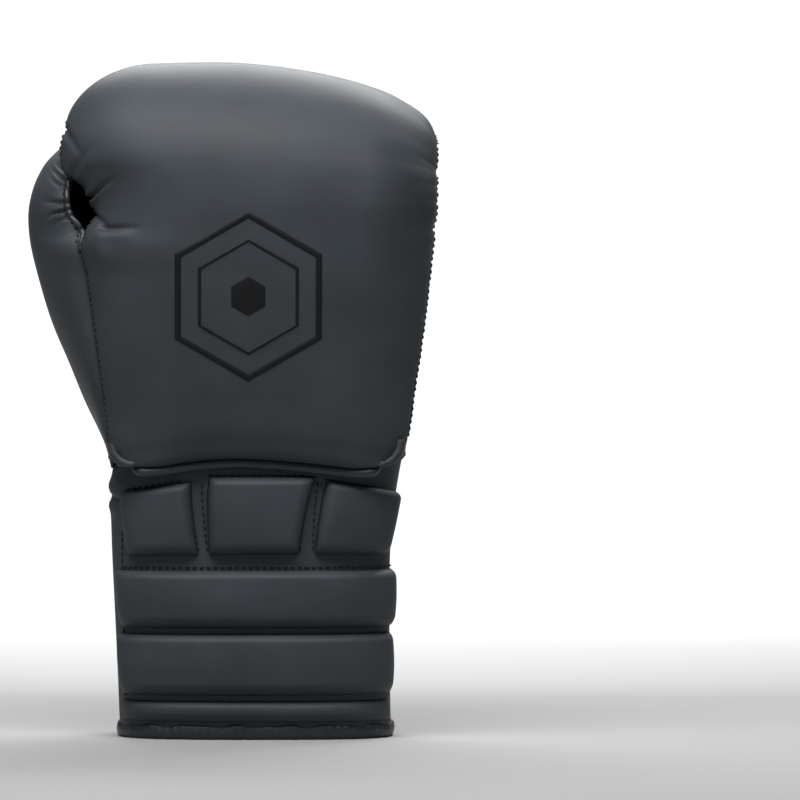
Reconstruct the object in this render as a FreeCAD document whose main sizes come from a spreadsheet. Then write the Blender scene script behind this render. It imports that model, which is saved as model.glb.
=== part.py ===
"""Lace-up boxing glove for the right hand, in millimetres.

The glove stands on the rim of its cuff. +Z runs from the cuff's mouth to the knuckles, -Y is the
back of the hand, +Y is the palm, and the thumb is on the -X side. The origin is the centre of the
cuff's mouth, in the plane of the rim.

Three groups bend against each other: the laced cuff, the fist above the wrist line, and the
thumb. Leather, foam and lining are separate layers in each group.
"""

import math
import os
import re

import FreeCAD, Part
import Sketcher

Vector = FreeCAD.Vector

# Driving dimensions: alias, value and what it is.
DIMENSIONS = [
    ("leather", 1.4, "thickness of the leather"),
    ("lining", 1.0, "thickness of the lining cloth"),
    ("binding_top", 6, "height of the rim binding"),
    ("binding_proud", 1.5, "how far the rim binding stands out of the cuff"),
    ("cuff_flat", 28, "half the flat stretch of the cuff's section"),
    ("cuff_r", 38, "radius of the cuff's round sides, and half its depth"),
    ("cuff_padding", 7, "thickness of the cuff's foam"),
    ("cuff_top", 121, "height where the cuff group ends"),
    ("fist_low", 134, "height where the fist group begins"),
    ("wrist_pad_t", 9, "thickness of the pads on the back of the cuff"),
    ("slit", 3, "half the width of the lacing slit"),
    ("slit_end_r", 7.5, "radius of the slit's round upper end"),
    ("slit_end_z", 186, "height of the centre of that round end"),
    ("piping_w", 5, "width of the rolled edge beside the slit"),
    ("piping_t", 2.5, "height of the rolled edge above the leather"),
    ("stay_t", 1.2, "thickness of the stay under the lace holes"),
    ("stay_x", 30, "distance of the stay's outer edge from the slit's middle"),
    ("hole_x", 15.5, "distance of the lace holes from the slit's middle"),
    ("hole_r", 3.7, "radius of a lace hole"),
    ("lace_r", 3.1, "radius of the lace"),
    ("lace_out", 44, "depth of the lace where it runs over the palm side"),
    ("lace_in", 25, "depth of the lace where it runs inside the glove"),
    ("lace_rise", 8, "rise of the strand that crosses over the other"),
    ("lace_bend_out", 6, "radius of the lace's bend out of a hole"),
    ("lace_bend_in", 3.5, "radius of the lace's bend inside the glove"),
    ("lace_bend_over", 16, "radius of the lace's bend where it crosses over the other strand"),
    ("knot_z", 8.5, "height of the knot's centre"),
    ("knot_out", 4, "how far the knot's centre lies outside the lace's runs"),
    ("knot_r", 7, "radius of the knot"),
    ("lace_end", 4, "distance of the lace's ends from the slit's middle, inside the knot"),
    ("back_low", 50, "depth of the padding's back at the wrist"),
    ("back_y", 10, "depth of the centre of the knuckle curve"),
    ("back_z", 270, "height of the centre of the knuckle curve"),
    ("back_r", 60, "radius of the knuckle curve"),
    ("roll_y", 25, "depth of the centre of the finger roll"),
    ("roll_z", 273, "height of the centre of the finger roll"),
    ("roll_r", 57, "radius of the finger roll"),
    ("foam_middle", 17.4, "depth under the surface where the outer foam ends"),
    ("foam_end", 29.4, "depth under the surface where the inner foam ends"),
    ("palm_top", 214, "height of the palm pieces' upper edge"),
    ("palm_in", 30, "depth where the palm foam begins"),
    ("hand_x", 50, "half the width of the hand compartment"),
    ("side_x", 60, "distance of the fist's thumb side from the middle, beside the thumb"),
    ("side_in_y", 24, "depth behind the middle where that side starts to slant out"),
    ("side_out_x", 98, "distance of the slanted side's outer edge from the middle"),
    ("side_out_y", 62, "depth behind the middle of that outer edge"),
    ("grip_r", 8, "radius of the grip bar"),
    ("grip_half", 44, "half the length of the grip bar"),
    ("thumb_y", 5, "depth of the thumb's centre line"),
    ("thumb_padding", 7, "thickness of the thumb's foam"),
    ("thumb_seam", 84, "distance of the thumb's long seam from the middle"),
    ("passage_r", 15, "radius of the way from the hand's room into the thumb's"),
    ("passage_y", 8, "depth of that way's centre"),
    ("passage_z", 197, "height of that way's centre"),
    ("lock_low", 283, "height of the thumb lock's lower edge"),
    ("lock_high", 291, "height of the thumb lock's upper edge"),
    ("lock_gap", 2.6, "gap between the thumb lock's end and the fist's side"),
]

# Corners of the fist seen from the back, as (x, z), from the wrist on the thumb side clockwise.
FIST_OUTLINE = [(-70, 134), (-84, 246), (-95, 290), (-95, 333), (88, 322), (88, 262), (80, 185), (71, 134)]
FIST_CORNERS = {3: 34, 4: 36}

# The thumb's oval sections: height, outer end, inner end and half the depth.
THUMB_SECTIONS = [
    (138, -73, -63.5, 18),
    (160, -82, -63.5, 30),
    (180, -90, -63.5, 36),
    (200, -99, -63.5, 40),
    (220, -105.5, -64, 42),
    (240, -110.5, -64, 42),
    (258, -112, -65, 38),
    (272, -108, -66, 31),
    (284, -99, -69, 21),
    (292, -91, -77, 10),
]

# Heights of the rows of lace holes, from the top one down. The first two are in the palm.
LACE_ROWS = [168, 146, 115, 91, 66, 40, 14]
PALM_ROWS = 2

# The pads on the back of the cuff, as corners (x, z), and the rolls below them, as two heights.
WRIST_PADS = {
    "wrist_pad_thumb_side": [(-63, 90), (-30, 90), (-34, 119), (-63, 116)],
    "wrist_pad_centre": [(-25, 90), (27, 90), (33, 120), (-29, 120)],
    "wrist_pad_little_side": [(32, 90), (64, 90), (64, 114), (38, 119)],
}
WRIST_ROLLS = {"wrist_roll_upper": (54, 83), "wrist_roll_middle": (22, 52), "wrist_roll_lower": (9, 20)}
WRIST_ROLL_HALF = 64

# A block or a cut that has to pass right through the glove is this long.
THROUGH = 400

# A bend of the lace takes up at most this share of the shorter run beside it.
BEND_SHARE = 0.45

# Height of the foam's and the lining's upper edge in the palm, under the leather's.
LEDGE = "palm_top - leather"

doc = FreeCAD.newDocument("boxing_glove")
sheet = doc.addObject("Spreadsheet::Sheet", "Sheet")
size = {}
nodes = []


def write_cell(alias, number, words):
    """Adds one row to the sheet."""
    row = len(size) + 1
    sheet.set(f"A{row}", words)
    sheet.set(f"B{row}", str(number))
    sheet.setAlias(f"B{row}", alias)
    size[alias] = number


def write_pairs(alias, pairs, words):
    """Adds a list of corners to the sheet and gives their aliases in the same order."""
    names = []
    for index, pair in enumerate(pairs):
        names.append((f"{alias}_x_{index}_", f"{alias}_z_{index}_"))
        for name, number in zip(names[-1], pair):
            write_cell(name, number, f"{words}, corner {index}")
    return names


def formula(text):
    """An expression with the sheet's name put before each of its aliases."""
    return re.sub(r"[a-z][a-z_0-9]*", lambda found: "Sheet." + found[0] if found[0] in size else found[0], text)


def number(text):
    """What a sum of numbers and aliases comes to now."""
    total = 0
    for sign, term in re.findall(r"([+-]?)\s*([a-z][a-z_0-9]*|[0-9.]+)", str(text)):
        amount = size[term] if term in size else float(term)
        total += -amount if sign == "-" else amount
    return total


def negative(text):
    """A sum with every sign turned round."""
    turned = text.translate(str.maketrans("+-", "-+"))
    return turned if turned[0] in "+-" else "-" + turned


def less(amount, inset):
    """A sum less another sum."""
    return f"{amount} {negative(inset)}"


def bind(thing, **formulas):
    """Ties properties to formulas. A double underscore in a property's name stands for a dot."""
    for name, text in formulas.items():
        thing.setExpression(name.replace("__", "."), formula(str(text)))
    return thing


def node(label, thing):
    """Names a finished sub-part, which is written to its own file."""
    thing.Label = label
    nodes.append(thing)


def box(name, x, y, z):
    """A block between two formulas on each axis."""
    made = doc.addObject("Part::Box", name)
    spans = [f"({high}) - ({low})" for low, high in (x, y, z)]
    bind(made, Length=spans[0], Width=spans[1], Height=spans[2])
    return bind(made, Placement__Base__x=x[0], Placement__Base__y=y[0], Placement__Base__z=z[0])


def cylinder(name, turn, start, radius, length):
    """A cylinder whose axis is +Z turned by a rotation, from a start given as three formulas."""
    made = doc.addObject("Part::Cylinder", name)
    made.Placement = FreeCAD.Placement(Vector(), turn)
    bind(made, Radius=radius, Height=length)
    return bind(made, Placement__Base__x=start[0], Placement__Base__y=start[1], Placement__Base__z=start[2])


ALONG_X = FreeCAD.Rotation(Vector(0, 1, 0), 90)
ALONG_Y = FreeCAD.Rotation(Vector(1, 0, 0), -90)
QUARTER_TURN = FreeCAD.Rotation(Vector(0, 0, 1), 90)


def cut(name, base, *tools):
    """The base with the tools taken out of it one after the other."""
    for index, tool in enumerate(tools):
        made = doc.addObject("Part::Cut", f"{name}_{index}")
        made.Base, made.Tool = base, tool
        base = made
    return base


def common(name, *things):
    made = doc.addObject("Part::MultiCommon", name)
    made.Shapes = list(things)
    return made


def fuse(name, *things):
    made = doc.addObject("Part::MultiFuse", name)
    made.Shapes = list(things)
    return made


def new_body(name, plane):
    """A PartDesign body with an empty sketch on one of its own origin planes."""
    body = doc.addObject("PartDesign::Body", name)
    sketch = body.newObject("Sketcher::SketchObject", name + "_sketch")
    origin = [feature for feature in body.Origin.OriginFeatures if feature.Role == plane][0]
    sketch.AttachmentSupport = [(origin, "")]
    sketch.MapMode = "FlatFace"
    return body, sketch


def pad(body, sketch, length, both_ways=False):
    """Pads a sketch along its normal, or half of it each way."""
    made = body.newObject("PartDesign::Pad", body.Name + "_pad")
    made.Profile = sketch
    made.Midplane = both_ways
    bind(made, Length=length)
    body.Tip = made
    return made


def hold(sketch, item, end, at):
    """Holds a point of a sketch at two formulas."""
    for kind, text in zip(("DistanceX", "DistanceY"), at):
        index = sketch.addConstraint(Sketcher.Constraint(kind, -1, 1, item, end, number(text)))
        sketch.setExpression(f"Constraints[{index}]", formula(str(text)))


def line(sketch, start, end):
    first = Vector(number(start[0]), number(start[1]), 0)
    last = Vector(number(end[0]), number(end[1]), 0)
    return sketch.addGeometry(Part.LineSegment(first, last))


def arc(sketch, centre, radius, first, last):
    """A quarter or half circle whose ends lie square to its centre, between two angles."""
    circle = Part.Circle(Vector(number(centre[0]), number(centre[1]), 0), Vector(0, 0, 1), number(radius))
    item = sketch.addGeometry(Part.ArcOfCircle(circle, math.radians(first), math.radians(last)))
    hold(sketch, item, 3, centre)
    index = sketch.addConstraint(Sketcher.Constraint("Radius", item, number(radius)))
    sketch.setExpression(f"Constraints[{index}]", formula(radius))
    for end, angle in ((1, first), (2, last)):
        kind = "Vertical" if (angle // 90) % 2 else "Horizontal"
        sketch.addConstraint(Sketcher.Constraint(kind, item, end, item, 3))
    return item


def chain(sketch, *ends):
    """Closes an outline: each entry is (item, the end it starts at, the end it leaves by)."""
    for this, following in zip(ends, ends[1:] + ends[:1]):
        sketch.addConstraint(Sketcher.Constraint("Coincident", this[0], this[2], following[0], following[1]))


def polygon(sketch, corners):
    """A closed outline of straight lines whose corners are held by formulas."""
    items = [line(sketch, corner, corners[(i + 1) % len(corners)]) for i, corner in enumerate(corners)]
    chain(sketch, *[(item, 1, 2) for item in items])
    for item, corner in zip(items, corners):
        hold(sketch, item, 1, corner)


def stadium(sketch, inset):
    """The cuff's section, inset from its outside by a sum of thicknesses."""
    radius = less("cuff_r", inset)
    right = arc(sketch, ("cuff_flat", "0"), radius, -90, 90)
    left = arc(sketch, ("-cuff_flat", "0"), radius, 90, 270)
    palm = line(sketch, ("cuff_flat", radius), ("-cuff_flat", radius))
    back = line(sketch, ("-cuff_flat", negative(radius)), ("cuff_flat", negative(radius)))
    chain(sketch, (right, 1, 2), (palm, 1, 2), (left, 1, 2), (back, 1, 2))


def cuff_ring(name, outer, inner, low, high):
    """A ring with the cuff's section between two insets and two heights."""
    body, sketch = new_body(name, "XY_Plane")
    stadium(sketch, outer)
    stadium(sketch, inner)
    pad(body, sketch, f"({high}) - ({low})")
    return bind(body, Placement__Base__z=low)


def hook(sketch, inset):
    """The back, knuckle curve, top and finger roll of the fist, inset from the surface, in the YZ plane."""
    wrist = (f"{inset} - back_low", "fist_low")
    back = line(sketch, wrist, (f"{inset} - back_y - back_r", "back_z"))
    knuckles = arc(sketch, ("-back_y", "back_z"), less("back_r", inset), 90, 180)
    top = line(sketch, ("-back_y", less("back_z + back_r", inset)), ("roll_y", less("roll_z + roll_r", inset)))
    roll = arc(sketch, ("roll_y", "roll_z"), less("roll_r", inset), -90, 90)
    hold(sketch, back, 1, wrist)
    return back, knuckles, top, roll


def hook_ends(back, knuckles, top, roll):
    """The four pieces of a hook in order from the wrist, each with the ends it starts and stops at."""
    return [(back, 1, 2), (knuckles, 2, 1), (top, 1, 2), (roll, 2, 1)]


def bent_layer(name, outer, inner):
    """A layer of the fist's padding between two depths under its surface, right across the glove."""
    body, sketch = new_body(name, "YZ_Plane")
    outside = hook_ends(*hook(sketch, outer))
    inside = hook_ends(*hook(sketch, inner))
    tip = line(sketch, ("roll_y", f"roll_z - roll_r + {outer}"), ("roll_y", f"roll_z - roll_r + {inner}"))
    foot = line(sketch, (f"{inner} - back_low", "fist_low"), (f"{outer} - back_low", "fist_low"))
    back_again = [(item, last, first) for item, first, last in reversed(inside)]
    chain(sketch, *outside, (tip, 1, 2), *back_again, (foot, 1, 2))
    pad(body, sketch, THROUGH, both_ways=True)
    return body


def hand_block(name, inset, tip, palm, ledge, length):
    """The block inside the hook: its underside starts at the tip's depth and its front is at the palm's."""
    body, sketch = new_body(name, "YZ_Plane")
    ends = hook_ends(*hook(sketch, inset))
    under = line(sketch, ("roll_y", f"roll_z - roll_r + {inset}"), (tip, ledge))
    shelf = line(sketch, (tip, ledge), (palm, ledge))
    front = line(sketch, (palm, ledge), (palm, "fist_low"))
    foot = line(sketch, (palm, "fist_low"), (f"{inset} - back_low", "fist_low"))
    chain(sketch, *ends, (under, 1, 2), (shelf, 1, 2), (front, 1, 2), (foot, 1, 2))
    hold(sketch, shelf, 1, (tip, ledge))
    hold(sketch, front, 1, (palm, ledge))
    hold(sketch, foot, 1, (palm, "fist_low"))
    pad(body, sketch, length, both_ways=True)
    return body


def fist_prism(name, corners, across, down):
    """The fist's outline from the back, carried right through it, rounded at its upper corners and moved."""
    body, sketch = new_body(name, "XZ_Plane")
    polygon(sketch, corners)
    last = pad(body, sketch, THROUGH, both_ways=True)
    for corner, radius in FIST_CORNERS.items():
        doc.recompute()
        x, z = FIST_OUTLINE[corner]
        rounded = body.newObject("PartDesign::Fillet", f"{name}_corner")
        rounded.Base = (last, edges_through(last.Shape, x, z))
        rounded.Radius = radius
        body.Tip = last = rounded
    return bind(body, Placement__Base__x=across, Placement__Base__z=negative(down))


def edges_through(shape, x, z):
    """Names of the edges along Y that pass through a point of the XZ plane."""
    point = Vector(x, 0, z)
    return [f"Edge{i}" for i, edge in enumerate(shape.Edges, 1) if edge.CenterOfMass.isEqual(point, 0.01)]


def thumb_side(name, shift):
    """What lies outside the fist's side beside the thumb, moved in across the glove."""
    body, sketch = new_body(name, "XY_Plane")
    far = "-side_out_x - side_out_x"
    corners = [(far, "-side_out_y"), ("-side_out_x", "-side_out_y"), ("-side_x", "-side_in_y")]
    polygon(sketch, corners + [("-side_x", "side_out_x + side_out_x"), (far, "side_out_x + side_out_x")])
    pad(body, sketch, THROUGH)
    return bind(body, Placement__Base__x=shift)


def lace_holes(name, rows):
    """A punched hole on each side of the slit at each row."""
    starts = [(side + "hole_x", "lace_in", str(row)) for row in rows for side in ("-", "")]
    return [cylinder(f"{name}_{i}", ALONG_Y, start, "hole_r", "lace_out") for i, start in enumerate(starts)]


def build_cuff():
    """The laced cuff: leather outside, foam and lining, the rolled edges of its slit and its rim."""
    palm_face = ("0", "lace_out + lace_out")
    slit = box("cuff_slit", ("-slit", "slit"), palm_face, ("-slit", "cuff_top + slit"))
    lacing = fuse("cuff_lacing", slit, *lace_holes("cuff_hole", LACE_ROWS[PALM_ROWS:]))
    wall = ("binding_top", "cuff_top")
    shell = cut("cuff_shell", cuff_ring("cuff_shell_ring", "0", "leather", *wall), lacing)
    across = {"thumb_side": ("-hand_x - hand_x", "0"), "little_side": ("0", "hand_x + hand_x")}
    behind = box("behind", ("-hand_x - hand_x", "hand_x + hand_x"), ("-hand_x - hand_x", "-lace_rise"), wall)
    node("cuff_back_leather", common("cuff_back", shell, behind))
    for side, x in across.items():
        before = box("before_" + side, x, ("-lace_rise", "lace_out"), wall)
        node("cuff_flap_" + side, common("cuff_flap_body_" + side, shell, before))
    stay_ring = cuff_ring("stay_ring", "leather", "leather + stay_t", *wall)
    stay_in = "cuff_r - leather - stay_t"
    for side, x in across.items():
        sign = "-" if side == "thumb_side" else ""
        near, far = f"{sign}slit", f"{sign}stay_x"
        strip = box("stay_box_" + side, sorted((near, far), key=number), (stay_in, "lace_out"), wall)
        node("lace_stay_" + side, cut("lace_stay_body_" + side, common("stay_" + side, stay_ring, strip), lacing))
        edge = sorted((near, f"{near} {sign or '+'} piping_w"), key=number)
        node("slit_piping_" + side, box("piping_" + side, edge, ("cuff_r", "cuff_r + piping_t"), wall))
    stay_room = box("stay_room", ("-stay_x", "stay_x"), (stay_in, "lace_out"), wall)
    foam = cuff_ring("cuff_foam_ring", "leather", "leather + cuff_padding", *wall)
    node("cuff_foam", cut("cuff_foam_body", foam, lacing, stay_room))
    cloth = cuff_ring("cuff_lining_ring", "leather + cuff_padding", "leather + cuff_padding + lining", *wall)
    node("cuff_lining", cut("cuff_lining_body", cloth, lacing))
    rim_in = "leather + cuff_padding + lining + binding_proud"
    node("rim_binding", cut("rim_body", cuff_ring("rim_ring", "-binding_proud", rim_in, "0", "binding_top"), slit))


def build_wrist_pads():
    """Three sewn pads in a row under the wrist line, and three long rolls below them."""
    band = cuff_ring("wrist_pad_band", "-wrist_pad_t", "0", "binding_top", "cuff_top")
    for label, pairs in WRIST_PADS.items():
        body, sketch = new_body(label + "_outline", "XZ_Plane")
        polygon(sketch, write_pairs(label, pairs, label))
        pad(body, sketch, THROUGH)
        node(label, common(label + "_body", band, body))
    for label, heights in WRIST_ROLLS.items():
        low, high = write_pairs(label, [heights], label)[0]
        half = (str(-WRIST_ROLL_HALF), str(WRIST_ROLL_HALF))
        block = box(label + "_block", half, ("-hand_x - hand_x", "-lace_rise"), (low, high))
        node(label, common(label + "_body", band, block))


def build_fist():
    """The fist: its outer leather in four pieces, the bent padding, the grip bar, and what the palm holds."""
    corners = write_pairs("fist", FIST_OUTLINE, "fist outline from the back")
    prism = fist_prism("fist_prism", corners, "0", "0")
    in_from_thumb = fist_prism("fist_prism_thumb", corners, "leather", "leather")
    in_from_little = fist_prism("fist_prism_little", corners, "-leather", "leather")
    inside = common("fist_inside", in_from_thumb, in_from_little)
    beside = thumb_side("beside_thumb", "0")
    beside_leather = thumb_side("beside_thumb_leather", "leather")
    start = ("-thumb_seam", "passage_y", "passage_z")
    thumb_passage = cylinder("thumb_passage", ALONG_X, start, "passage_r", "thumb_seam - slit")
    lacing = palm_lacing()
    whole = hand_block("fist_side_outline", "0", "roll_y", "cuff_r", "palm_top", str(THROUGH))
    under = hand_block("fist_under_leather", "leather", "roll_y", "cuff_r - leather", LEDGE, str(THROUGH))
    outside = common("fist_outside", whole, prism)
    shell = cut("fist_shell", outside, common("fist_room", under, inside))
    across = (str(-THROUGH), str(THROUGH))
    palm = box("palm_box", across, ("roll_y", "cuff_r"), ("fist_low", "palm_top"))
    little_y = ("-hand_x + back_y", "cuff_r - leather")
    little_box = box("little_box", ("hand_x", str(THROUGH)), little_y, ("fist_low", "back_z"))
    little_wall = cut("little_wall", prism, in_from_little)
    little = common("little_side", shell, little_wall, little_box)
    node("side_leather_little", little)
    node("palm_leather", cut("palm_leather_body", common("palm_skin", shell, palm), little, beside_leather, lacing))
    node("main_leather", cut("main_leather_body", shell, beside_leather, little, palm))
    plate = common("thumb_plate", outside, cut("thumb_wall", beside_leather, beside))
    node("side_leather_thumb", cut("side_leather_thumb_body", plate, thumb_passage))
    for label, outer, inner in (
        ("knuckle_foam_outer", "leather", "foam_middle"),
        ("knuckle_foam_inner", "foam_middle", "foam_end"),
    ):
        layer = common(label + "_layer", bent_layer(label + "_bent", outer, inner), inside)
        node(label, cut(label + "_body", layer, beside_leather))
    grip = cylinder("grip_bar_body", ALONG_X, ("-grip_half", "roll_y", "roll_z"), "grip_r", "grip_half + grip_half")
    node("grip_bar", grip)
    build_palm(inside, lacing)
    build_hand_room(inside, beside_leather, lacing, thumb_passage)
    return thumb_passage


def palm_lacing():
    """What the lacing takes out of the palm: the top of the slit with its round end, and two rows of holes."""
    slit = box("palm_slit", ("-slit", "slit"), ("lace_in", "lace_out + lace_out"), ("fist_low - slit", "slit_end_z"))
    end = cylinder("palm_slit_end", ALONG_Y, ("0", "lace_in", "slit_end_z"), "slit_end_r", "lace_out")
    return fuse("palm_lacing", slit, end, *lace_holes("palm_hole", LACE_ROWS[:PALM_ROWS]))


def build_palm(inside, lacing):
    """The stay and the foam under the palm's leather, and the rolled edge round the top of the slit."""
    height = ("fist_low", LEDGE)
    under_leather = "cuff_r - leather"
    stay = box("palm_stay_box", ("-stay_x", "stay_x"), (under_leather + " - stay_t", under_leather), height)
    node("palm_stay", cut("palm_stay_body", stay, lacing))
    foam = box("palm_foam_box", ("-side_x + leather", str(THROUGH)), ("palm_in", under_leather), height)
    node("palm_foam", cut("palm_foam_body", common("palm_foam_layer", foam, inside), stay, lacing))
    rolled_x = ("-slit - piping_w", "slit + piping_w")
    rolled = box("rolled_box", rolled_x, ("cuff_r", "cuff_r + piping_t"), ("fist_low", "slit_end_z"))
    rolled_end = cylinder("rolled_end", ALONG_Y, ("0", "cuff_r", "slit_end_z"), "slit_end_r + piping_w", "piping_t")
    node("slit_piping_palm", cut("rolled_edge", fuse("rolled", rolled, rolled_end), lacing))


def build_hand_room(inside, beside_leather, lacing, thumb_passage):
    """The hand's lining and the foam on both sides of it."""
    cloth = hand_block("lining_outside", "foam_end", "roll_y", "palm_in", LEDGE, "hand_x + hand_x")
    half = "hand_x + hand_x - lining - lining"
    shelf = LEDGE + " - lining"
    room = hand_block("lining_inside", "foam_end + lining", "roll_y - lining", "palm_in - lining", shelf, half)
    node("hand_lining", cut("hand_lining_body", cloth, room, lacing, thumb_passage))
    sides = hand_block("side_foam_outline", "foam_end", "roll_y", "palm_in", LEDGE, str(THROUGH))
    through = (str(-THROUGH), str(THROUGH))
    for label, x in (
        ("side_foam_thumb", ("-side_x + leather", "-hand_x")),
        ("side_foam_little", ("hand_x", str(THROUGH))),
    ):
        block = box(label + "_box", x, through, ("fist_low", str(THROUGH)))
        foam = common(label + "_common", sides, block, inside)
        node(label, cut(label + "_body", foam, beside_leather, thumb_passage))


def thumb_loft(name, sections, inset):
    """The thumb's oval shape, inset from its outside by a sum of thicknesses."""
    ovals = []
    for index, (height, outer, inner, half) in enumerate(sections):
        oval = doc.addObject("Part::Ellipse", f"{name}_{index}")
        oval.Placement = FreeCAD.Placement(Vector(), QUARTER_TURN)
        bind(oval, MajorRadius=f"{half} - ({inset})", MinorRadius=f"({inner} - {outer}) / 2 - ({inset})")
        middle = f"({inner} + {outer}) / 2"
        bind(oval, Placement__Base__x=middle, Placement__Base__y="thumb_y", Placement__Base__z=height)
        ovals.append(oval)
    loft = doc.addObject("Part::Loft", name)
    loft.Sections = ovals
    loft.Solid = True
    loft.Ruled = True
    return loft


def build_thumb(thumb_passage):
    """The thumb: outer and inner leather that meet at the long seam, foam, lining and the lock at its tip."""
    names = []
    for index, section in enumerate(THUMB_SECTIONS):
        names.append([f"thumb_{part}_{index}_" for part in ("height", "outer", "inner", "half")])
        for name, amount in zip(names[-1], section):
            write_cell(name, amount, f"thumb section {index}")
    whole = thumb_loft("thumb_whole", names, "0")
    under_leather = thumb_loft("thumb_under_leather", names[:-1], "leather")
    under_foam = thumb_loft("thumb_under_foam", names[2:-1], "leather + thumb_padding")
    thumb_room = thumb_loft("thumb_room", names[2:-1], "leather + thumb_padding + lining")
    shell = cut("thumb_shell", whole, under_leather, thumb_passage)
    lock_y = ("thumb_y - binding_top", "thumb_y + binding_top")
    lock = box("thumb_lock_box", ("-thumb_seam", "-side_x - lock_gap"), lock_y, ("lock_low", "lock_high"))
    for label, x in (
        ("thumb_leather_outer", (str(-THROUGH), "-thumb_seam")),
        ("thumb_leather_inner", ("-thumb_seam", "0")),
    ):
        half = box(label + "_half", x, (str(-THROUGH), str(THROUGH)), ("0", str(THROUGH)))
        node(label, common(label + "_body", shell, half))
    node("thumb_foam", cut("thumb_foam_body", under_leather, under_foam, thumb_passage))
    node("thumb_lining", cut("thumb_lining_body", under_foam, thumb_room, thumb_passage))
    node("thumb_lock", cut("thumb_lock_body", lock, whole))


def rounded_path(stops):
    """Straight runs through the stops, joined by tangent arcs: each stop is (point, largest radius)."""
    points = [point for point, _ in stops]
    edges = []
    here = points[0]
    for before, (corner, largest), after in zip(points, stops[1:-1], points[2:]):
        back, on = (before - corner).normalize(), (after - corner).normalize()
        half_turn = (math.pi - back.getAngle(on)) / 2
        shorter = min((before - corner).Length, (after - corner).Length)
        radius = min(largest, BEND_SHARE * shorter / math.tan(half_turn))
        reach = radius * math.tan(half_turn)
        start, end = corner + back * reach, corner + on * reach
        inward = (back + on).normalize()
        middle = corner + inward * (radius / math.cos(half_turn) - radius)
        edges.append(Part.LineSegment(here, start).toShape())
        edges.append(Part.Arc(start, middle, end).toShape())
        print(f"lace bend radius {radius:.1f} mm")
        here = end
    edges.append(Part.LineSegment(here, points[-1]).toShape())
    return Part.Wire(edges)


def lace_stops():
    """The lace's route from the knot up one side of the slit, over its top and down the other side.

    The two strands cross at every row, and take turns at being the one that rises over the other.
    """
    x, out, inside, rise = (size[alias] for alias in ("hole_x", "lace_out", "lace_in", "lace_rise"))
    bend_out, bend_in = size["lace_bend_out"], size["lace_bend_in"]
    rows = LACE_ROWS[::-1]
    strands = []
    for strand, side in enumerate((1, -1)):
        stops = [(Vector(side * size["lace_end"], out, size["knot_z"]), 0)]
        for crossing, (row, row_above) in enumerate(zip(rows, rows[1:] + [None])):
            goes_in = crossing % 2 == 0
            near, far = (out, inside) if goes_in else (inside, out)
            bends = (bend_out, bend_in) if goes_in else (bend_in, bend_out)
            stops += [(Vector(side * x, near, row), bends[0]), (Vector(side * x, far, row), bends[1])]
            if row_above and crossing // 2 % 2 == strand:
                over = far - rise if goes_in else far + rise
                stops.append((Vector(0, over, (row + row_above) / 2), size["lace_bend_over"]))
            side = -side if row_above else side
        strands.append(stops)
    return strands[0] + strands[1][::-1]


def build_lace():
    """One lace through every hole, whole, and the knot that ties its two ends."""
    stops = lace_stops()
    path = rounded_path(stops)
    section = Part.Wire(Part.Circle(stops[0][0], path.Edges[0].tangentAt(0), size["lace_r"]).toShape())
    tube = path.makePipeShell([section], True, False)
    swept = math.pi * size["lace_r"] ** 2 * path.Length
    print(f"lace length {path.Length:.0f} mm, volume {tube.Volume / swept:.4f} of section times length")
    knot = doc.addObject("Part::Sphere", "lace_knot_body")
    bind(knot, Radius="knot_r", Placement__Base__y="lace_out + knot_out", Placement__Base__z="knot_z")
    doc.recompute()
    lace = doc.addObject("Part::Feature", "lace_body")
    lace.Shape = tube.cut(knot.Shape)
    node("lace", lace)
    node("lace_knot", knot)


def export():
    """Stops on any failed object, then writes each sub-part to a file of its own."""
    doc.recompute()
    failed = [thing.Name for thing in doc.Objects if {"Invalid", "Error"} & set(thing.State)]
    if failed:
        raise RuntimeError(f"failed objects: {failed}")
    os.makedirs("parts", exist_ok=True)
    for thing in nodes:
        shape = thing.Shape
        if shape.isNull() or not shape.isValid() or not shape.Solids:
            raise RuntimeError(f"{thing.Label} has no valid solid")
        shape.exportStep(f"parts/{thing.Label}.step")
        low, high = shape.BoundBox.ZMin, shape.BoundBox.ZMax
        print(f"{thing.Label:24} {len(shape.Solids)} solid, z {low:.1f} to {high:.1f}")


for alias, amount, words in DIMENSIONS:
    write_cell(alias, amount, words)
doc.recompute()
build_cuff()
build_wrist_pads()
build_thumb(build_fist())
build_lace()
export()
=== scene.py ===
"""Visual model of a lace-up boxing glove for the right hand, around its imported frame.

Z is up, the back of the hand faces -Y, the palm and the laces +Y, and the thumb is at -X.
Each leather panel is a grid over a formula, so panels that share a seam share its line.
Tables are in millimetres.
"""
import math

import bmesh
import bpy
import numpy as np
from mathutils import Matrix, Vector
from mathutils.bvhtree import BVHTree


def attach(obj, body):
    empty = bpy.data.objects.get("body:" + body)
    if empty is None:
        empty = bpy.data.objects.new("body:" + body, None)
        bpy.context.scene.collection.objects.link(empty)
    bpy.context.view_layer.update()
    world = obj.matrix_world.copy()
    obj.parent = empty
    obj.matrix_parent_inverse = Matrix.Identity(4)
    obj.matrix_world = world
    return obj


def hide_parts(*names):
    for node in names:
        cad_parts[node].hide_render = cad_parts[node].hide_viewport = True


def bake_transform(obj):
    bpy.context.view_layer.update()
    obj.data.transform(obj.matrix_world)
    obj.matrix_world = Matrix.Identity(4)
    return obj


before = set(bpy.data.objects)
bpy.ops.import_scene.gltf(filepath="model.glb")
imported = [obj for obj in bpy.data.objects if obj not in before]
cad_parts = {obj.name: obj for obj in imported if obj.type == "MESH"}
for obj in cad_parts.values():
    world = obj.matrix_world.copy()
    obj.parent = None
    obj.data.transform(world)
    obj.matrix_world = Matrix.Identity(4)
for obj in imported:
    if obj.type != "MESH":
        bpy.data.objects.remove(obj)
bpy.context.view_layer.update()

MM = 0.001

# ---- shapes of the panels

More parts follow.
